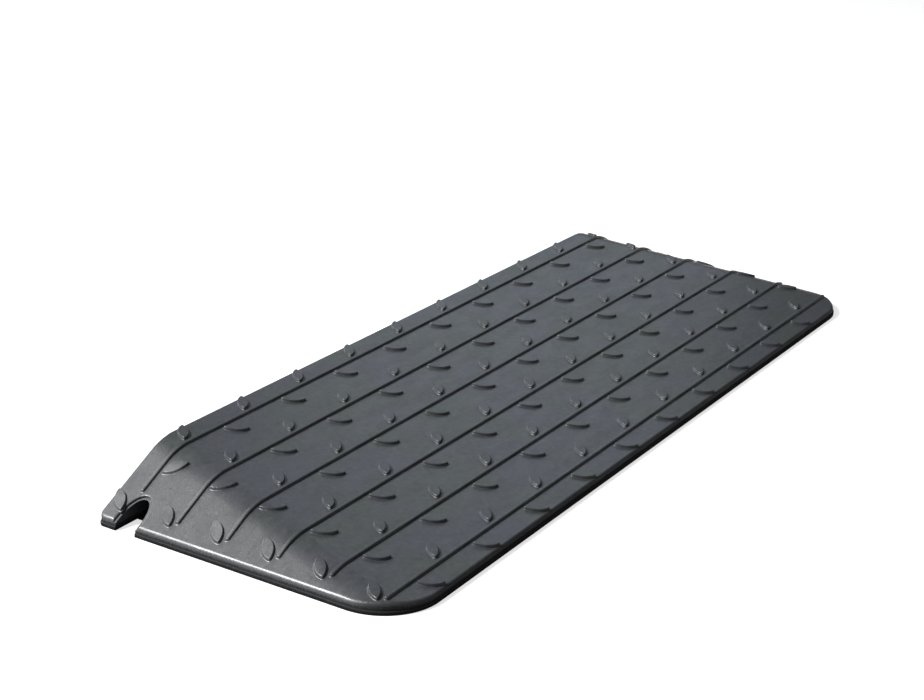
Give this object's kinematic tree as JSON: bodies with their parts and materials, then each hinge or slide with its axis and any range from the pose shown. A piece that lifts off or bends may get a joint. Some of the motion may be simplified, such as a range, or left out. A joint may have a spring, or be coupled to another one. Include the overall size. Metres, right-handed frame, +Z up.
{
  "type": "rubber kerb ramp",
  "caption": "Low one-piece rubber ramp with a studded, ribbed sloping tread, two sloping ends and a channel for a cable or drain along its back.",
  "frame": {"origin": "middle of the footprint, on the ground", "axes": "+X along the ramp, +Y from the front lip to the kerb face, +Z up"},
  "size_m": [1.107, 0.37, 0.0653],
  "materials": {
    "rubber": "moulded rubber with a fine grain, satin, dark slate grey"
  },
  "bodies": {
    "root": {"ramp_body": "rubber"}
  },
  "joints": []
}
